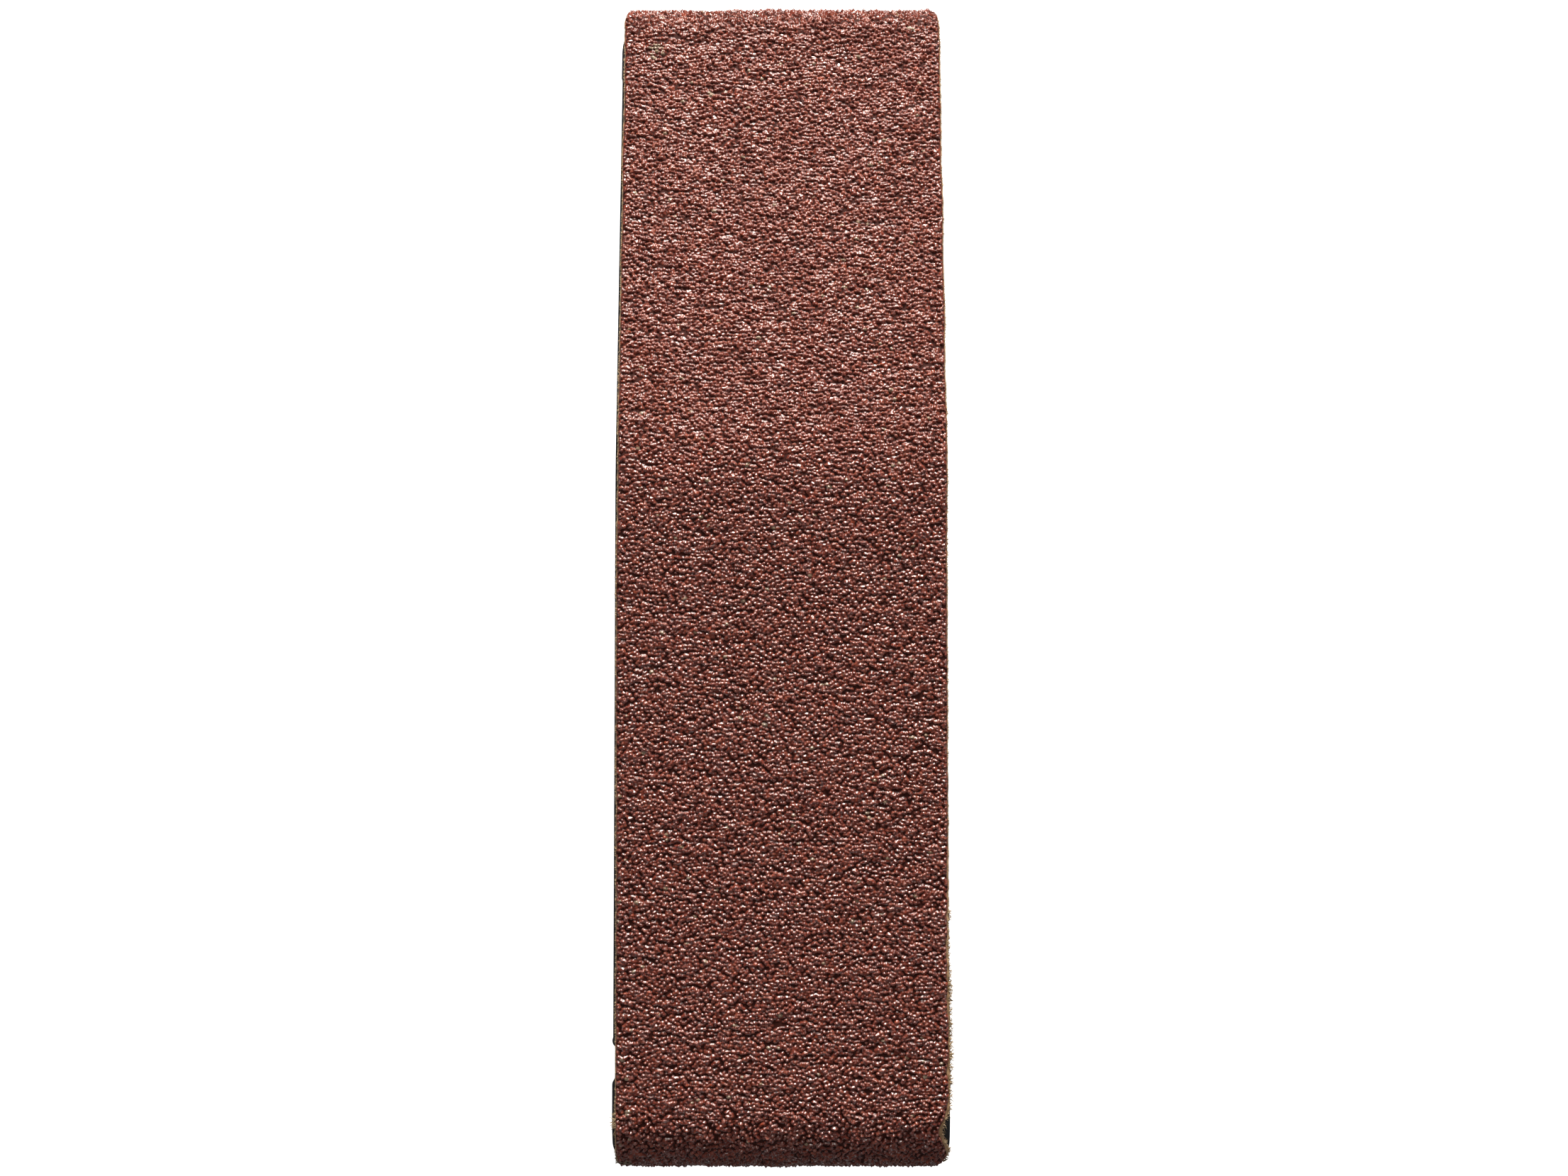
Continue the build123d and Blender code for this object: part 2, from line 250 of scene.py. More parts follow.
LINE = BeltLine()
END_UPPER_MIDDLE = LINE.length - END_RADIUS * math.pi / 4
END_MIDDLE = END_UPPER_MIDDLE - SEAT_HEIGHT / 2  # about half way down the end
NOSE_MIDDLE = (LINE.starts[Stretch.NOSE_FRONT] + LINE.starts[Stretch.NOSE_LOWER]) / 2
BACK_START = LINE.starts[Stretch.BACK]
BACK_START_Y = LINE.points[Stretch.BACK][0]
TEAR_MIDDLE = LINE.length - 1.4 * MM
PALE_PATCH = (LINE.starts[Stretch.NOSE_UPPER] - 3.3 * MM, -15.8 * MM, 1.0 * MM)  # along, across, reach
RUBBED_CORNER = (LINE.length - 6.8 * MM, -18.7 * MM, 1.1 * MM)


def on_belt(along, across, height):
    """Points in the row frame at these places on the belt, measured from the belt's middle line."""
    side_view, _ = LINE.at(along, height)
    return np.stack([BELT_MIDDLE + across, side_view[..., 0], side_view[..., 1]], -1)


# ------------------------------------------------------------------ noise
def lattice_noise(along, across, cell_along, cell_across, seed):
    """Smooth random values from -1 to 1 that repeat round the belt, with cells of this size."""
    rng = np.random.default_rng(seed)
    count = max(3, round(LINE.length / cell_along))
    rows = math.ceil(NOISE_WIDTH / cell_across) + 2
    values = rng.uniform(-1, 1, (count, rows))
    u = np.mod(along, LINE.length) / LINE.length * count
    v = (across + NOISE_WIDTH / 2) / cell_across
    i, j = np.floor(u).astype(int), np.clip(np.floor(v).astype(int), 0, rows - 2)
    fu, fv = u - i, np.clip(v - j, 0, 1)
    fu, fv = fu * fu * (3 - 2 * fu), fv * fv * (3 - 2 * fv)
    near = values[i % count, j] * (1 - fu) + values[(i + 1) % count, j] * fu
    far = values[i % count, j + 1] * (1 - fu) + values[(i + 1) % count, j + 1] * fu
    return near * (1 - fv) + far * fv


def loop_distance(along, centre):
    """How far places on the loop are from one, the shorter way round."""
    return np.abs(np.mod(along - centre + LINE.length / 2, LINE.length) - LINE.length / 2)


def bump_at(along, centre, reach):
    """1 at a place on the loop, falling smoothly to 0 this far from it."""
    near = np.clip(1 - loop_distance(along, centre) / reach, 0, 1)
    return near * near * (3 - 2 * near)


def belt_edge(along, side):
    """How far the belt's edge is from its middle line: ragged, worn back at the ends and torn once."""
    still = np.zeros_like(along)
    ragged = 0.05 * MM * lattice_noise(along, still, 0.7 * MM, NO_CHANGE_ACROSS, 31 + side)
    ragged += 0.07 * MM * lattice_noise(along, still, 7 * MM, NO_CHANGE_ACROSS, 41 + side)
    end_wear = RIGHT_END_WEAR if side > 0 else LEFT_END_WEAR
    worn = end_wear * bump_at(along, END_MIDDLE, END_WEAR_REACH)
    worn = worn + NOSE_WEAR * bump_at(along, NOSE_MIDDLE, NOSE_WEAR_REACH)
    if side > 0:
        worn = worn + TEAR_DEPTH * bump_at(along, TEAR_MIDDLE, TEAR_REACH)
    return HALF_WIDTH + ragged - worn


# ------------------------------------------------------------------ mesh helpers
def new_object(name, points, face_groups, materials, tones=None):
    """A smooth mesh object from points (n, 3) and arrays of faces, one array for each corner count."""
    mesh = bpy.data.meshes.new(name)
    mesh.vertices.add(len(points))
    mesh.vertices.foreach_set("co", np.asarray(points, np.float32).ravel())
    corners = np.concatenate([group.ravel() for group in face_groups])
    sizes = np.concatenate([np.full(len(group), group.shape[1]) for group in face_groups])
    mesh.loops.add(len(corners))
    mesh.loops.foreach_set("vertex_index", corners.astype(np.int32))
    mesh.polygons.add(len(sizes))
    mesh.polygons.foreach_set("loop_start", (np.cumsum(sizes) - sizes).astype(np.int32))
    for material in materials:
        mesh.materials.append(material)
    if tones is not None:
        mesh.polygons.foreach_set("material_index", tones.astype(np.int32))
    mesh.polygons.foreach_set("use_smooth", np.ones(len(sizes), bool))
    mesh.update(calc_edges=True)
    made = bpy.data.objects.new(name, mesh)
    bpy.context.scene.collection.objects.link(made)
    return made


def grid_faces(rows, columns, closed_rows=False):
    """The faces of a grid of points stored row by row, seen from outside when rows run forward."""
    i = np.arange(rows if closed_rows else rows - 1)[:, None]
    j = np.arange(columns - 1)[None, :]
    here, there = i * columns, (i + 1) % rows * columns
    return np.stack([here + j, here + j + 1, there + j + 1, there + j], -1).reshape(-1, 4)


def slab(top, under, closed_rows=False):
    """Points and faces of a closed slab between two grids of points with the same rows. The under grid
    may have fewer columns. Closed rows join the last row to the first."""
    rows, columns = top.shape[:2]
    low_columns = under.shape[1]
    points = np.concatenate([top.reshape(-1, 3), under.reshape(-1, 3)])
    first_low = rows * columns
    here = np.arange(rows if closed_rows else rows - 1)
    there = (here + 1) % rows
    left, low_left = here * columns, first_low + here * low_columns
    left_next, low_left_next = there * columns, first_low + there * low_columns
    end, low_end = columns - 1, low_columns - 1
    groups = [
        grid_faces(rows, columns, closed_rows),
        grid_faces(rows, low_columns, closed_rows)[:, ::-1] + first_low,
        np.stack([left_next, low_left_next, low_left, left], -1),
        np.stack([left + end, low_left + low_end, low_left_next + low_end, left_next + end], -1),
    ]
    if not closed_rows:
        ends = []
        for row in (0, rows - 1):
            upper = row * columns + np.arange(columns)
            lower = first_low + row * low_columns + np.arange(low_columns)[::-1]
            ring = np.concatenate([upper, lower])
            ends.append(ring[::-1] if row == 0 else ring)
        groups.append(np.array(ends))
    return points, groups


def finish_piece(piece, body, slot, *replaced):
    """Parents a piece to the body it rides on and hides the CAD nodes it stands for. Its slot is not
    used.
    """
    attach(piece, body)
    if replaced:
        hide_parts(*replaced)


# ------------------------------------------------------------------ abrasive coat
def grain_seeds(rng):
    """Places of the grains on the unrolled belt, in rows that wander."""
    rows = round(LINE.length / ROW_SPACING)
    columns = round(2 * HALF_WIDTH / GRAIN_PITCH) + 2
    row, column = np.meshgrid(np.arange(rows), np.arange(columns), indexing="ij")
    along = row * LINE.length / rows
    across = (column + 0.5 * (row % 2)) * GRAIN_PITCH - HALF_WIDTH - GRAIN_PITCH
    along = along + rng.normal(0, STRAY_ALONG, along.shape)
    across = across + rng.normal(0, STRAY_ACROSS, across.shape)
    along = along + 0.30 * MM * lattice_noise(along, across, 1.3 * MM, 1.5 * MM, 5)
    across = across + 0.22 * MM * lattice_noise(along, across, 1.1 * MM, 1.4 * MM, 6)
    return along.ravel(), across.ravel()


def crowding(along, across):
    """How proud and close the grains stand: short wavy streaks that run across the belt."""
    shifted = along + 0.9 * MM * lattice_noise(along, across, 3.5 * MM, 3.0 * MM, 11)
    streaks = lattice_noise(shifted, across, *STREAK_CELL, 12)
    patches = lattice_noise(shifted, across, *PATCH_CELL, 13)
    return 0.95 * streaks + 0.22 * patches


def in_spot(along, across, spot):
    """Whether places on the belt lie in a round damaged spot."""
    middle_along, middle_across, reach = spot
    return np.hypot(loop_distance(along, middle_along), across - middle_across) < reach


def coat_edge(along, side):
    """How far the coat's edge is from the belt's middle line: it has crumbled near the right end."""
    showing = CLOTH_SHOWING
    if side > 0:
        crumbled = 1 + lattice_noise(along, np.zeros_like(along), 0.8 * MM, NO_CHANGE_ACROSS, 51)
        showing = showing + CRUMBLED_SHOWING * crumbled * bump_at(along, 9 * MM, 32 * MM)
    return belt_edge(along, side) - showing


def splice_line(along, across):
    """1 on the slanted line across the back where the belt is joined, falling to 0 beside it."""
    middle = BACK_START + BACK_START_Y - SPLICE_Y
    slanted = middle + SPLICE_SKEW * across / (2 * HALF_WIDTH)
    return np.clip(1 - loop_distance(along, slanted) / (0.55 * MM), 0, 1)


def grain_table():
    """Every grain: where it is, its size, height and tone, and how it is turned."""
    rng = np.random.default_rng(7)
    along, across = grain_seeds(rng)
    count = len(along)
    crowd = crowding(along, across)
    size = rng.normal(SIZE_MEAN, SIZE_SPREAD, count) + 0.04 * crowd
    size = GRAIN_PITCH * np.clip(size, 0.40, 0.85)
    tall = rng.normal(HEIGHT_MEAN, HEIGHT_SPREAD, count) + 0.30 * crowd
    tall = GRAIN_RELIEF * np.clip(tall, 0.35, 1.6)
    opened = bump_at(along, END_UPPER_MIDDLE, 7 * MM) + bump_at(along, NOSE_MIDDLE, 6 * MM)
    size *= 1 - 0.16 * opened
    tall *= 1 + 0.35 * opened
    tall *= 1 - 0.7 * splice_line(along, across)
    near_corner = in_spot(along, across, RUBBED_CORNER)
    tall = np.where(near_corner, 0.35 * tall, tall)
    pick = rng.uniform(0, 1, count)
    tone = np.digitize(pick + 0.10 * crowd, PLAIN_TONES_END)
    tone = np.where(pick > ORANGE_FROM, ORANGE, tone)
    tone = np.where(pick > TAN_FROM, TAN, tone)
    pale = in_spot(along, across, PALE_PATCH) & (pick > 0.3)
    tone = np.where(pale | near_corner, TAN, tone)
    return along, across, size, tall, tone, rng


def grain_humps(along, across, size, tall, rng, step, first_across):
    """Each grain's height at the grid points round it, and the row and column of each point."""
    count = len(along)
    turn = rng.uniform(0, 2 * np.pi, count)
    stretch = rng.uniform(0.80, 1.22, count)
    lean = rng.uniform(0, 0.45, count)
    lean_to = rng.uniform(0, 2 * np.pi, count)
    side_turn = np.arange(GRAIN_SIDES)[None, :] + rng.uniform(-0.3, 0.3, (count, GRAIN_SIDES))
    side_angle = side_turn * 2 * np.pi / GRAIN_SIDES
    side_near = rng.uniform(0.80, 1.15, (count, GRAIN_SIDES))

    reach = math.ceil(0.9 * GRAIN_PITCH / GRID)
    shift = np.arange(-reach, reach + 1)
    di, dj = [a.ravel() for a in np.meshgrid(shift, shift, indexing="ij")]
    i = np.round(along / step).astype(int)[:, None] + di
    j = np.round((across - first_across) / GRID).astype(int)[:, None] + dj
    du = i * step - along[:, None]
    dv = j * GRID + first_across - across[:, None]
    du, dv = du * GRAIN_FLATTENING, dv / GRAIN_FLATTENING
    u = (np.cos(turn)[:, None] * du + np.sin(turn)[:, None] * dv) / (size * stretch)[:, None]
    v = (-np.sin(turn)[:, None] * du + np.cos(turn)[:, None] * dv) / (size / stretch)[:, None]
    rounded = np.sqrt(u * u + v * v)
    faceted = np.zeros_like(u)
    for k in range(GRAIN_SIDES):
        toward = np.cos(side_angle[:, k])[:, None] * u + np.sin(side_angle[:, k])[:, None] * v
        faceted = np.maximum(faceted, toward / side_near[:, k][:, None])
    edge = 0.55 * rounded + 0.45 * faceted
    tilt = lean[:, None] * (np.cos(lean_to)[:, None] * u + np.sin(lean_to)[:, None] * v)
    return i, j, tall[:, None] * (1 - edge**1.6 + tilt * np.clip(1 - rounded, 0, 1))


def raise_grains():
    """The coat's height and tone at each point of a regular grid, and where its columns start."""
    along, across, size, tall, tone, rng = grain_table()
    count = len(along)
    rows = round(LINE.length / GRID)
    columns = round(2 * (HALF_WIDTH + 0.6 * MM) / GRID)
    first_across = -columns * GRID / 2
    step = LINE.length / rows
    i, j, height = grain_humps(along, across, size, tall, rng, step, first_across)
    grain = np.broadcast_to(np.arange(count)[:, None], height.shape)
    keep = (j >= 0) & (j < columns) & (height > 0)
    place = (np.mod(i, rows) * columns + np.clip(j, 0, columns - 1))[keep]
    height, grain = height[keep], grain[keep]
    order = np.argsort(height, kind="stable")
    surface = np.zeros(rows * columns)
    tones = np.full(rows * columns, DARK_RESIN_AND_SHADE)
    surface[place[order]] = height[order]
    tones[place[order]] = tone[grain[order]]
    surface, tones = surface.reshape(rows, columns), tones.reshape(rows, columns)
    s, x = np.meshgrid(np.arange(rows) * step, first_across + np.arange(columns) * GRID, indexing="ij")
    floor = 0.02 * MM * (1 + lattice_noise(s, x, 0.5 * MM, 0.5 * MM, 21))
    return soften(np.maximum(surface, floor)), tones, first_across


def soften(surface):
    """Rounds the grains a little, as the resin over them does."""
    beside = (np.roll(surface, 1, 0) + np.roll(surface, -1, 0)) / 2
    rounded = 0.7 * surface + 0.3 * beside
    beside = np.copy(rounded)
    beside[:, 1:-1] = (rounded[:, :-2] + rounded[:, 2:]) / 2
    return 0.7 * rounded + 0.3 * beside


def between(field, row, column):
    """Values of a grid between its columns."""
    j = np.clip(np.floor(column).astype(int), 0, field.shape[1] - 2)
    share = column - j
    return field[row, j] * (1 - share) + field[row, j + 1] * share


def make_abrasive(materials):
    """The abrasive coat, in pieces that follow each other round the belt."""
    surface, tone, first_across = raise_grains()
    rows = surface.shape[0]
    columns = round(2 * HALF_WIDTH / GRID)
    step = LINE.length / rows
    starts = [round(k * rows / ABRASIVE_PIECES) for k in range(ABRASIVE_PIECES + 1)]
    for k in range(ABRASIVE_PIECES):
        row = np.arange(starts[k], starts[k + 1] + 1)
        along = row * step
        left, right = -coat_edge(along, -1), coat_edge(along, 1)
        share = np.linspace(0, 1, columns)[None, :]
        across = left[:, None] * (1 - share) + right[:, None] * share
        column = (across - first_across) / GRID
        grid_row = np.broadcast_to((row % rows)[:, None], across.shape)
        height = between(surface, grid_row, column)
        rim = np.minimum(across - left[:, None], right[:, None] - across) / (0.2 * MM)
        proud = (RESIN_THICKNESS + height) * np.clip(0.3 + 0.7 * rim, 0, 1)
        top = on_belt(np.broadcast_to(along[:, None], across.shape), across, CLOTH_OUTSIDE + proud)
        low = np.full((len(row), 2), CLOTH_OUTSIDE - 0.05 * MM)
        under = on_belt(np.repeat(along[:, None], 2, 1), np.stack([left, right], -1), low)
        points, groups = slab(top, under)
        nearest = np.clip(np.round(column).astype(int), 0, surface.shape[1] - 1)
        # painted shade: low places between the grains get the dark resin tone, darkened to stand in for
        # their shade
        tones = np.where(height < PAINTED_SHADE_DEPTH, DARK_RESIN_AND_SHADE, tone[grid_row, nearest])
        patch = tones[:-1, :-1].ravel()
        rest = sum(len(group) for group in groups) - len(patch)
        face_tones = np.concatenate([patch, np.full(rest, DARK_RESIN_AND_SHADE)])
        piece = new_object(f"abrasive_coat_{k + 1}", points, groups, materials, face_tones)
        finish_piece(piece, "belt", "abrasive", "belt_grit")


# ------------------------------------------------------------------ cloth and its frayed edges
def make_cloth(material):
    """The belt's cloth: one closed band, a little rounded and ragged at its two sides."""
    rows = round(LINE.length / (0.4 * MM))
    along = np.arange(rows) * LINE.length / rows
    share = np.array([0, 0.004, 0.012, 0.25, 0.5, 0.75, 0.988, 0.996, 1])[None, :]
    rise = np.array([0.35, 0.12, 0, 0, 0, 0, 0, 0.12, 0.35])[None, :] * CLOTH_THICKNESS
    across = -belt_edge(along, -1)[:, None] * (1 - share) + belt_edge(along, 1)[:, None] * share
    level = np.broadcast_to(along[:, None], across.shape)
    outside = on_belt(level, across, CLOTH_OUTSIDE - rise + np.zeros_like(across))
    inside = on_belt(level, across, CLOTH_INSIDE + rise + np.zeros_like(across))
    points, groups = slab(outside, inside, closed_rows=True)
    cloth = new_object("belt_cloth_band", points, groups, [material])
    finish_piece(cloth, "belt", "belt_cloth", "belt_cloth")


def fraying(along, side):
    """How frayed an edge is at places on the loop, from nearly 0 to 1."""
    still = np.zeros_like(along)
    frayed = 0.12 + 0.10 * lattice_noise(along, still, 4 * MM, NO_CHANGE_ACROSS, 61 + side)
    frayed = frayed + 0.45 * bump_at(along, END_MIDDLE, 14 * MM)
    for strength, middle, reach in FRAYED_SPOTS[side]:
        frayed = frayed + strength * bump_at(along, middle, reach)
    return np.clip(frayed, 0.03, 1)


def fibre_lines(rng, side, count):
    """Middle lines of loose fibres, as (along, across, height) for each of their points."""
    root = rng.uniform(0, LINE.length, count)
    frayed = fraying(root, side)
    kept = rng.uniform(0, 1, count) < 0.25 + frayed
    root, frayed = root[kept], frayed[kept]
    count = len(root)
    length = (0.12 + 0.85 * frayed * rng.uniform(0.2, 1, count)) * MM
    level = rng.uniform(CLOTH_INSIDE + 0.08 * MM, CLOTH_OUTSIDE, count)
    sway = rng.normal(0, 0.55, count)
    curl = rng.normal(0, 0.8, count)
    lift = rng.normal(0, 0.35, count)
    part = np.linspace(0, 1, FIBRE_POINTS)[None, :]
    out = length[:, None] * part
    along = root[:, None] + out * (sway[:, None] + curl[:, None] * part)
    across = belt_edge(root, side)[:, None] - 0.12 * MM + out
    height = level[:, None] + out * lift[:, None] * part
    return along, side * across, np.clip(height, 0.3 * MM, None)


def make_fibres(material):
    """Loose yarn ends along both sides of the cloth, as one piece of many thin tapered threads."""
    rng = np.random.default_rng(19)
    corner = np.arange(FIBRE_SIDES) * 2 * np.pi / FIBRE_SIDES
    points, count = [], 0
    for side in (-1, 1):
        along, across, height = fibre_lines(rng, side, FIBRES_PER_EDGE)
        thick = rng.uniform(0.035, 0.075, len(along)) * MM
        radius = thick[:, None] * np.array([1, 0.95, 0.8, 0.6, 0.3])[None, :]
        along = along[..., None] + radius[..., None] * np.cos(corner)
        height = height[..., None] + radius[..., None] * np.sin(corner)
        across = np.broadcast_to(across[..., None], along.shape)
        points.append(on_belt(along, across, height).reshape(-1, 3))
        count += len(radius)
    points = np.concatenate(points)
    first = np.arange(count)[:, None, None] * FIBRE_POINTS * FIBRE_SIDES
    ring = first + np.arange(FIBRE_POINTS - 1)[None, :, None] * FIBRE_SIDES
    here = np.arange(FIBRE_SIDES)[None, None, :]
    there = (here + 1) % FIBRE_SIDES
    next_ring = ring + FIBRE_SIDES
    sides = np.stack([ring + here, ring + there, next_ring + there, next_ring + here], -1)
    caps = (first + here[..., ::-1]).reshape(-1, FIBRE_SIDES)
    tips = (first + (FIBRE_POINTS - 1) * FIBRE_SIDES + here).reshape(-1, FIBRE_SIDES)
    groups = [sides.reshape(-1, 4), caps, tips]
    fibres = new_object("belt_edge_fibres", points, groups, [material])
    finish_piece(fibres, "belt", "belt_cloth")


# ------------------------------------------------------------------ foam pads
def make_pad(name, node, start, stop, material):
    """A foam pad just under the belt, from one place on the loop to another, with soft rounded rims."""
    low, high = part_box(node)
    rows = round((stop - start) / PAD_RIM)
    along = np.linspace(start, stop, rows)
    share = np.concatenate([[0, 0.004, 0.012], np.linspace(0.03, 0.97, 40), [0.988, 0.996, 1]])
    across = low.x * (1 - share) + high.x * share
    rim = np.minimum(share, 1 - share) / PAD_SIDE_RIM
    end_rim = np.minimum(along - start, stop - along) / PAD_RIM
    fullness = np.sqrt(np.clip(rim, 0.15, 1))[None, :] * np.sqrt(np.clip(end_rim, 0.3, 1))[:, None]
    level = np.broadcast_to(along[:, None], fullness.shape)
    wide = np.broadcast_to(across[None, :], fullness.shape)
    give = 0.04 * MM * (1 + lattice_noise(level, wide, 1.1 * MM, 1.1 * MM, 71))
    top = on_belt(level, wide, -give - 0.5 * PAD_THICKNESS * (1 - fullness))
    under = on_belt(level, wide, -PAD_THICKNESS + 0.5 * PAD_THICKNESS * (1 - fullness))
    points, groups = slab(top, under)
    pad = new_object(name, points, groups, [material])
    finish_piece(pad, "stick", "pad_foam", node)
    return pad


def make_pads(material):
    """The pad behind the working face, which bends with it, and the flat pad on the back."""
    front_low, front_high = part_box("front_pad")
    front_start = front_low.y - LINE.points[Stretch.FLAT][0]
    on_slope = front_high.y - LINE.points[Stretch.SLOPE][0]
    front_stop = LINE.starts[Stretch.SLOPE] + on_slope / math.cos(TIP_SLOPE)
    back_low, back_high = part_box("back_pad")
    back_start = BACK_START + BACK_START_Y - back_high.y
    back_stop = BACK_START + BACK_START_Y - back_low.y
    return [
        make_pad("front_foam_pad", "front_pad", front_start, front_stop, material),
        make_pad("back_foam_pad", "back_pad", back_start, back_stop, material),
    ]


# ------------------------------------------------------------------ springs
def make_spring(side, material):
    """A coil of round wire whose end turns lie close together."""
    node = f"{side}_tension_spring"
    low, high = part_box(node)
    centre = (low + high) / 2
    radius = (high.z - low.z) / 2 - SPRING_WIRE_RADIUS
    steps = round(SPRING_TURNS * WIRE_STEPS_PER_TURN)
    turn = np.linspace(0, SPRING_TURNS, steps + 1)
    closed_pitch = 2.2 * SPRING_WIRE_RADIUS
    span = high.y - low.y - 2 * SPRING_WIRE_RADIUS
    knots = [0, CLOSED_TURNS, SPRING_TURNS - CLOSED_TURNS, SPRING_TURNS]
    rise = np.interp(turn, knots, [0, closed_pitch, span - closed_pitch, span])
    y = low.y + SPRING_WIRE_RADIUS + rise
    curve = bpy.data.curves.new(node + "_line", "CURVE")
    curve.dimensions = "3D"
    curve.bevel_depth = SPRING_WIRE_RADIUS
    curve.bevel_resolution = 3
    curve.use_fill_caps = True
    line = curve.splines.new("POLY")
    line.points.add(steps)
    for k in range(steps + 1):
        angle = 2 * math.pi * turn[k]
        place = (centre.x + radius * math.cos(angle), y[k], centre.z + radius * math.sin(angle), 1)
        line.points[k].co = place
    wire = bpy.data.objects.new(node + "_line", curve)
    mesh = bpy.data.meshes.new_from_object(wire)
    bpy.data.objects.remove(wire)
    mesh.materials.clear()
    mesh.materials.append(material)
    mesh.polygons.foreach_set("use_smooth", np.ones(len(mesh.polygons), bool))
    spring = bpy.data.objects.new(f"{side}_coil_spring", mesh)
    bpy.context.scene.collection.objects.link(spring)
    finish_piece(spring, "stick", "spring_steel", node)
    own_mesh(spring)


# ------------------------------------------------------------------ materials
def principled(name, colour, roughness, **sockets):
    """A material with one Principled shader, whose constant values are set on its own sockets."""
    material = bpy.data.materials.new(name)
    material.use_nodes = True
    shader = material.node_tree.nodes["Principled BSDF"]
    shader.inputs["Base Color"].default_value = colour
    shader.inputs["Roughness"].default_value = roughness
    for socket, value in sockets.items():
        shader.inputs[socket.replace("_", " ")].default_value = value
    return material, shader


def object_noise(material, scale, detail=3.0, stretch=(1, 1, 1)):
    """Noise in the object's own coordinates."""
    tree = material.node_tree
    place = tree.nodes.new("ShaderNodeTexCoord")
    mapping = tree.nodes.new("ShaderNodeMapping")
    noise = tree.nodes.new("ShaderNodeTexNoise")
    mapping.inputs["Scale"].default_value = stretch
    noise.inputs["Scale"].default_value = scale
    noise.inputs["Detail"].default_value = detail
    tree.links.new(place.outputs["Object"], mapping.inputs["Vector"])
    tree.links.new(mapping.outputs["Vector"], noise.inputs["Vector"])
    return noise


def link_ramp(material, source, stops, target):
    """Sends a value through a colour ramp to a socket."""
    tree = material.node_tree
    ramp = tree.nodes.new("ShaderNodeValToRGB")
    elements = ramp.color_ramp.elements
    while len(elements) < len(stops):
        elements.new(0.5)
    for element, (position, colour) in zip(elements, stops):
        element.position = position
        element.color = colour
    tree.links.new(source, ramp.inputs["Fac"])
    tree.links.new(ramp.outputs["Color"], target)


def link_range(material, source, low, high, target):
    """Sends a value from 0 to 1 to a socket as one from low to high."""
    tree = material.node_tree
    spread = tree.nodes.new("ShaderNodeMapRange")
    spread.inputs["To Min"].default_value = low
    spread.inputs["To Max"].default_value = high
    tree.links.new(source, spread.inputs["Value"])
    tree.links.new(spread.outputs["Result"], target)


def link_bump(material, shader, source, strength, distance):
    """Fine relief from a value."""
    tree = material.node_tree
    bump = tree.nodes.new("ShaderNodeBump")
    bump.inputs["Strength"].default_value = strength
    bump.inputs["Distance"].default_value = distance
    tree.links.new(source, bump.inputs["Height"])
    tree.links.new(bump.outputs["Normal"], shader.inputs["Normal"])


def grain_material(name, colour):
    """A grain under its resin: a dark core with broad pale glints on whatever faces the light."""
    material, _ = principled(
        name,
        colour,
        0.34,
        Specular_IOR_Level=0.6,
        Coat_Weight=1.0,
        Coat_Roughness=0.28,
        Coat_IOR=1.5,
    )
    return material


def grain_materials():
    """The tones of the resin-coated grains, and last the dark resin between them, whose dark tone is
    partly painted shade between the grains.
    """
    tones = {
        "grain_maroon": srgb(108, 42, 28),
        "grain_red_brown": srgb(120, 50, 34),
        "grain_brown": srgb(132, 58, 41),
        "grain_rose": srgb(142, 70, 51),
        "grain_orange": srgb(156, 66, 38),
        "grain_tan": srgb(150, 124, 100),
    }
    made = []
    for name, colour in tones.items():
        made.append(grain_material(name, colour))
    # dark resin between the grains, darkened as painted shade of the hollows
    made.append(principled("resin_and_painted_shade", srgb(62, 22, 14), 0.7, Specular_IOR_Level=0.2)[0])
    return made


def cloth_material():
    """Tan cotton twill: slanted ribs, uneven yarns and a matt, slightly hairy surface."""
    material, shader = principled(
        "cloth_twill", srgb(178, 142, 104), 0.85, Sheen_Weight=0.25, Sheen_Roughness=0.5
    )
    tree = material.node_tree
    yarn = object_noise(material, 260, 4.0, (1, 0.35, 1))
    link_ramp(
        material,
        yarn.outputs["Fac"],
        [(0.25, srgb(140, 104, 72)), (0.5, srgb(178, 142, 104)), (0.8, srgb(208, 182, 146))],
        shader.inputs["Base Color"],
    )
    wave = tree.nodes.new("ShaderNodeTexWave")
    wave.bands_direction = "DIAGONAL"
    wave.inputs["Scale"].default_value = 480
    wave.inputs["Distortion"].default_value = 1.2
    place = tree.nodes.new("ShaderNodeTexCoord")
    tree.links.new(place.outputs["Object"], wave.inputs["Vector"])
    link_bump(material, shader, wave.outputs["Fac"], 0.6, 0.12 * MM)
    return material


def fibre_material():
    """Pale cotton of the loose yarn ends."""
    material, shader = principled("cotton_fibre", srgb(198, 170, 132), 0.8, Sheen_Weight=0.3)
    tint = object_noise(material, 900, 1.0)
    link_range(material, tint.outputs["Fac"], 0.65, 0.95, shader.inputs["Roughness"])
    return material


def plastic_material(name, dark, light, roughness, relief):
    """Moulded plastic: a fine even texture with slight changes of tone and gloss."""
    material, shader = principled(name, light, roughness, Specular_IOR_Level=0.45)
    mottle = object_noise(material, 90, 4.0)
    link_ramp(material, mottle.outputs["Fac"], [(0.3, dark), (0.7, light)], shader.inputs["Base Color"])
    gloss = shader.inputs["Roughness"]
    link_range(material, mottle.outputs["Fac"], roughness - 0.08, roughness + 0.1, gloss)
    texture = object_noise(material, 2600, 2.0)
    link_bump(material, shader, texture.outputs["Fac"], 0.35, relief)
    return material


def steel_material(name, dark, light, roughness, stretch):
    """Drawn or plated steel with fine marks along one direction."""
    material, shader = principled(name, light, roughness, Metallic=1.0)
    marks = object_noise(material, 700, 3.0, stretch)
    link_ramp(material, marks.outputs["Fac"], [(0.3, dark), (0.7, light)], shader.inputs["Base Color"])
    gloss = shader.inputs["Roughness"]
    link_range(material, marks.outputs["Fac"], roughness - 0.07, roughness + 0.1, gloss)
    return material


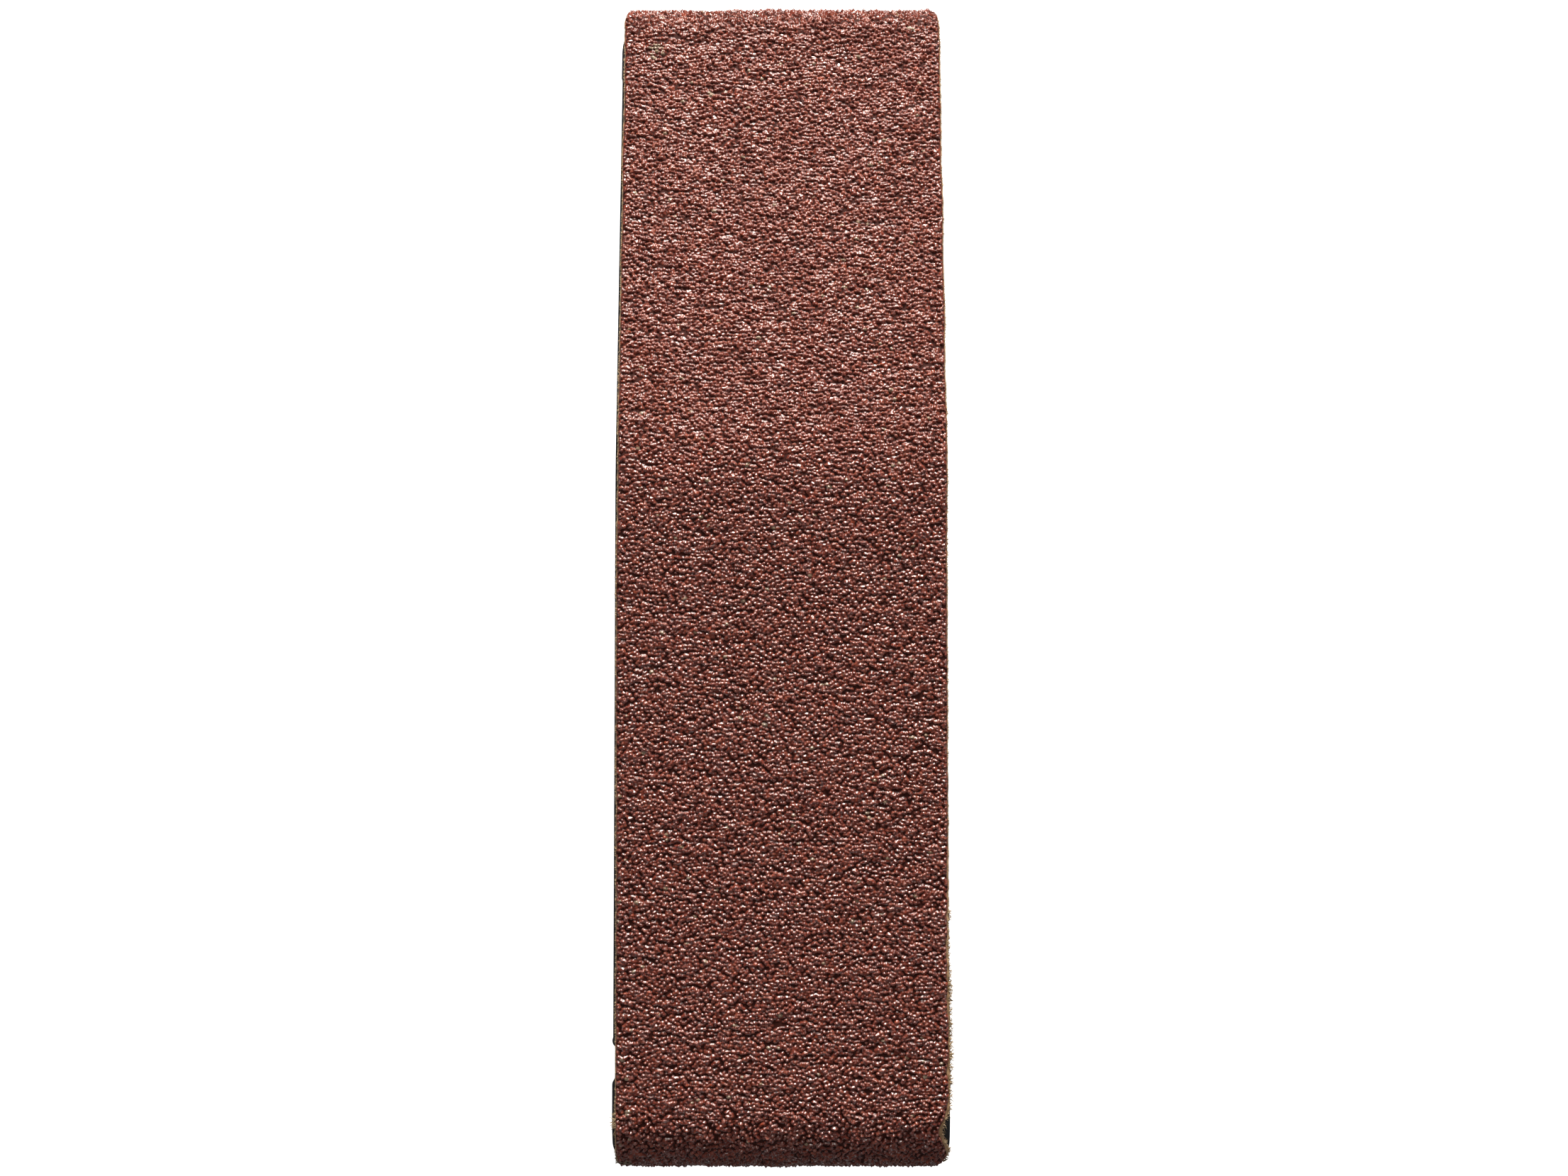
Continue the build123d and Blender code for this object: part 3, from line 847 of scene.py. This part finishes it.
def foam_material():
    """Firm dark foam with fine open cells."""
    material, shader = principled("pad_foam_cells", srgb(70, 68, 66), 0.9)
    tree = material.node_tree
    cells = tree.nodes.new("ShaderNodeTexVoronoi")
    cells.inputs["Scale"].default_value = 2200
    place = tree.nodes.new("ShaderNodeTexCoord")
    tree.links.new(place.outputs["Object"], cells.inputs["Vector"])
    link_ramp(
        material,
        cells.outputs["Distance"],
        [(0.0, srgb(48, 47, 46)), (0.6, srgb(84, 82, 79))],
        shader.inputs["Base Color"],
    )
    link_bump(material, shader, cells.outputs["Distance"], 0.5, 0.08 * MM)
    return material


def film_material():
    """The thin amber reinforced film that joins the belt's ends."""
    material, shader = principled("splice_film", srgb(168, 128, 74), 0.35, Coat_Weight=0.4)
    strands = object_noise(material, 900, 1.0, (1, 0.05, 1))
    link_ramp(
        material,
        strands.outputs["Fac"],
        [(0.35, srgb(150, 110, 60)), (0.65, srgb(196, 160, 104))],
        shader.inputs["Base Color"],
    )
    link_bump(material, shader, strands.outputs["Fac"], 0.3, 0.05 * MM)
    return material


def dress_cad_nodes():
    """Gives the CAD parts that stay in view their finishes."""
    shell = plastic_material("shell_anthracite", srgb(36, 38, 40), srgb(50, 52, 54), 0.5, 0.05 * MM)
    shoe = plastic_material("shoe_anthracite", srgb(32, 34, 36), srgb(44, 46, 48), 0.42, 0.04 * MM)
    rod = steel_material("ground_steel", srgb(150, 152, 154), srgb(196, 198, 200), 0.24, (1, 0.1, 1))
    spring = steel_material("spring_wire", srgb(120, 122, 126), srgb(168, 170, 174), 0.3, (1, 1, 1))
    zinc = steel_material("zinc_plate", srgb(168, 166, 158), srgb(206, 204, 198), 0.34, (1, 1, 1))
    film = film_material()
    finishes = {
        "front_shell": shell,
        "back_shell": shell,
        "tension_shoe": shoe,
        "left_guide_rod": rod,
        "right_guide_rod": rod,
        "left_e_clip": spring,
        "right_e_clip": spring,
        "left_spring_washer": zinc,
        "right_spring_washer": zinc,
        "rod_screws": zinc,
        "shell_screws": zinc,
        "belt_splice_tape": film,
    }
    for node, material in finishes.items():
        for slot in nodes[node].material_slots:
            slot.material = material
    return spring


# ------------------------------------------------------------------ camera, light and backdrop
def make_camera():
    """Looks down on the working face, with the tip up and leaning slightly away."""
    data = bpy.data.cameras.new("camera")
    data.lens = CAMERA_LENS
    data.sensor_width = 36
    data.clip_start = 0.01
    camera = bpy.data.objects.new("camera", data)
    bpy.context.scene.collection.objects.link(camera)
    aim = Vector((AIM_X, AIM_Y, BELT_HIGH.z))
    back = Vector((0, -math.sin(CAMERA_TILT), math.cos(CAMERA_TILT)))
    camera.location = aim + back * CAMERA_DISTANCE
    camera.rotation_mode = "QUATERNION"
    camera.rotation_quaternion = (-back).to_track_quat("-Z", "Y")
    bpy.context.scene.camera = camera


def soft_box(name, place, size, power, colour):
    """A rectangular light that points at the part."""
    data = bpy.data.lights.new(name, "AREA")
    data.shape = "RECTANGLE"
    data.size, data.size_y = size
    data.energy = power
    data.color = colour
    lamp = bpy.data.objects.new(name, data)
    bpy.context.scene.collection.objects.link(lamp)
    lamp.location = place
    lamp.rotation_mode = "QUATERNION"
    lamp.rotation_quaternion = (Vector(LIGHT_AIM) - Vector(place)).to_track_quat("-Z", "Y")


def make_light():
    """A strong soft box beyond the tip, and weak ones overhead, at both sides and at the near end."""
    for name, (place, size, power, colour) in LIGHTS.items():
        soft_box(name, place, size, power, colour)
    world = bpy.data.worlds.new("surround")
    bpy.context.scene.world = world
    world.use_nodes = True
    sky = world.node_tree.nodes["Background"]
    sky.inputs["Color"].default_value = (0.96, 0.98, 1.0, 1)
    sky.inputs["Strength"].default_value = SKY_STRENGTH


def make_backdrop():
    """A plain white floor just under the grains and a wall far round it, that light nothing."""
    low = BELT_LOW.z - FLOOR_GAP
    bpy.ops.mesh.primitive_plane_add(size=2 * WALL_REACH, location=(0, 0, low))
    floor = bpy.context.object
    floor.name = "floor"
    bpy.ops.mesh.primitive_cylinder_add(
        radius=WALL_REACH, depth=WALL_REACH, end_fill_type="NOTHING", location=(0, 0, low)
    )
    wall = bpy.context.object
    wall.name = "wall"
    material, shader = principled("backdrop_white", (0.95, 0.95, 0.95, 1), 0.9)
    shader.inputs["Emission Color"].default_value = (1, 1, 1, 1)
    shader.inputs["Emission Strength"].default_value = 1.0
    for piece in (floor, wall):
        piece.data.materials.append(material)
        piece.visible_diffuse = False
        piece.visible_glossy = False


make_camera()
make_light()
make_backdrop()
pads = make_pads(foam_material())
make_cloth(cloth_material())
make_abrasive(grain_materials())
make_fibres(fibre_material())
spring_steel = dress_cad_nodes()
for spring_side in ("left", "right"):
    make_spring(spring_side, spring_steel)

bpy.context.scene.view_settings.view_transform = "Standard"
